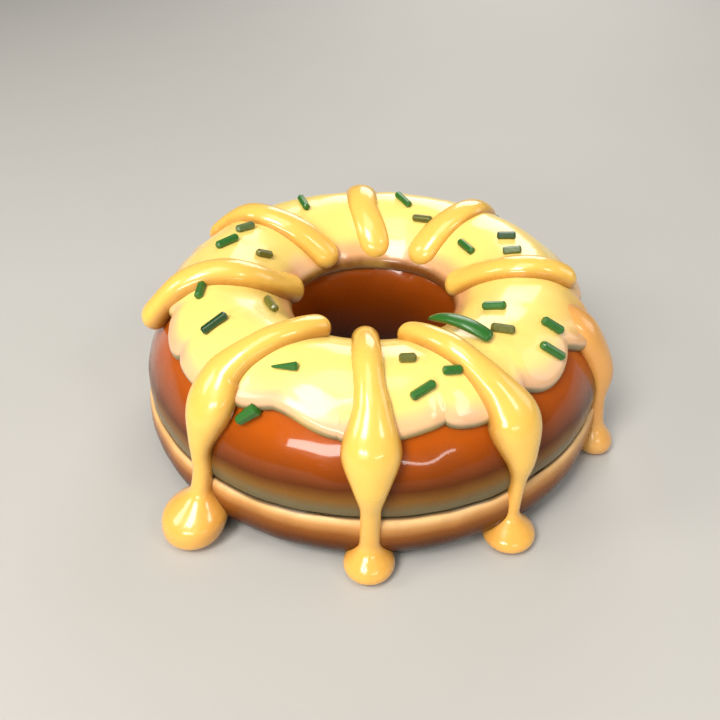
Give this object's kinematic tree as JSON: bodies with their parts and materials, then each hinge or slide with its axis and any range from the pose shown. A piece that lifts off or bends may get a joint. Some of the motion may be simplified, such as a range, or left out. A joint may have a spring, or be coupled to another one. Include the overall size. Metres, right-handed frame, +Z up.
{
  "type": "doughnut",
  "caption": "Ring doughnut of fried dough with pale yellow icing, drizzle that runs down to the table, and green sprinkles",
  "frame": {"origin": "on the table, under the middle of the doughnut's outline", "axes": "+Z up, along the axis of the hole; -Y faces the camera of the picture, +X to its right"},
  "size_m": [0.0932, 0.1006, 0.0368],
  "materials": {
    "fried_dough": "glazed fried dough, orange-brown on the upper lobe and paler at the crease",
    "butter_icing": "glossy butter-yellow icing and drizzle, with green sprinkles set in it"
  },
  "bodies": {
    "root": {"dough": "fried_dough", "icing": "butter_icing"}
  },
  "joints": []
}
